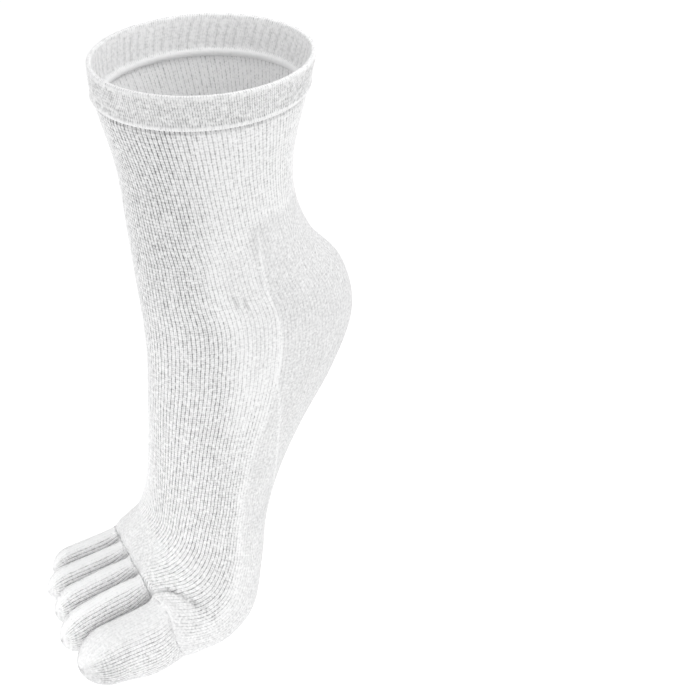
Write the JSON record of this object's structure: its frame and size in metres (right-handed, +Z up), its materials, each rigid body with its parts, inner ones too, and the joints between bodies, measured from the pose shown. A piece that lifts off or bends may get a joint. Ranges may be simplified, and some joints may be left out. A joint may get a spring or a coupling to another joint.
{
  "type": "toe sock",
  "caption": "Knitted ankle sock for a right foot with a separate pocket for each toe, in the form of a foot on tiptoe, open at the leg.",
  "frame": {"origin": "middle of the leg opening, at the rim of the cuff", "axes": "+Z up out of the leg opening, -Y the way the toes point, +X the big toe's side"},
  "size_m": [0.1051, 0.1734, 0.3102],
  "materials": {
    "rib_knit": "matte white rib knit",
    "plain_knit": "matte white plain knit"
  },
  "bodies": {
    "root": {"cuff": "rib_knit", "leg": "rib_knit", "heel": "plain_knit", "foot": "rib_knit", "toe_big": "plain_knit", "toe_second": "plain_knit", "toe_third": "plain_knit", "toe_fourth": "plain_knit", "toe_little": "plain_knit"}
  },
  "joints": []
}
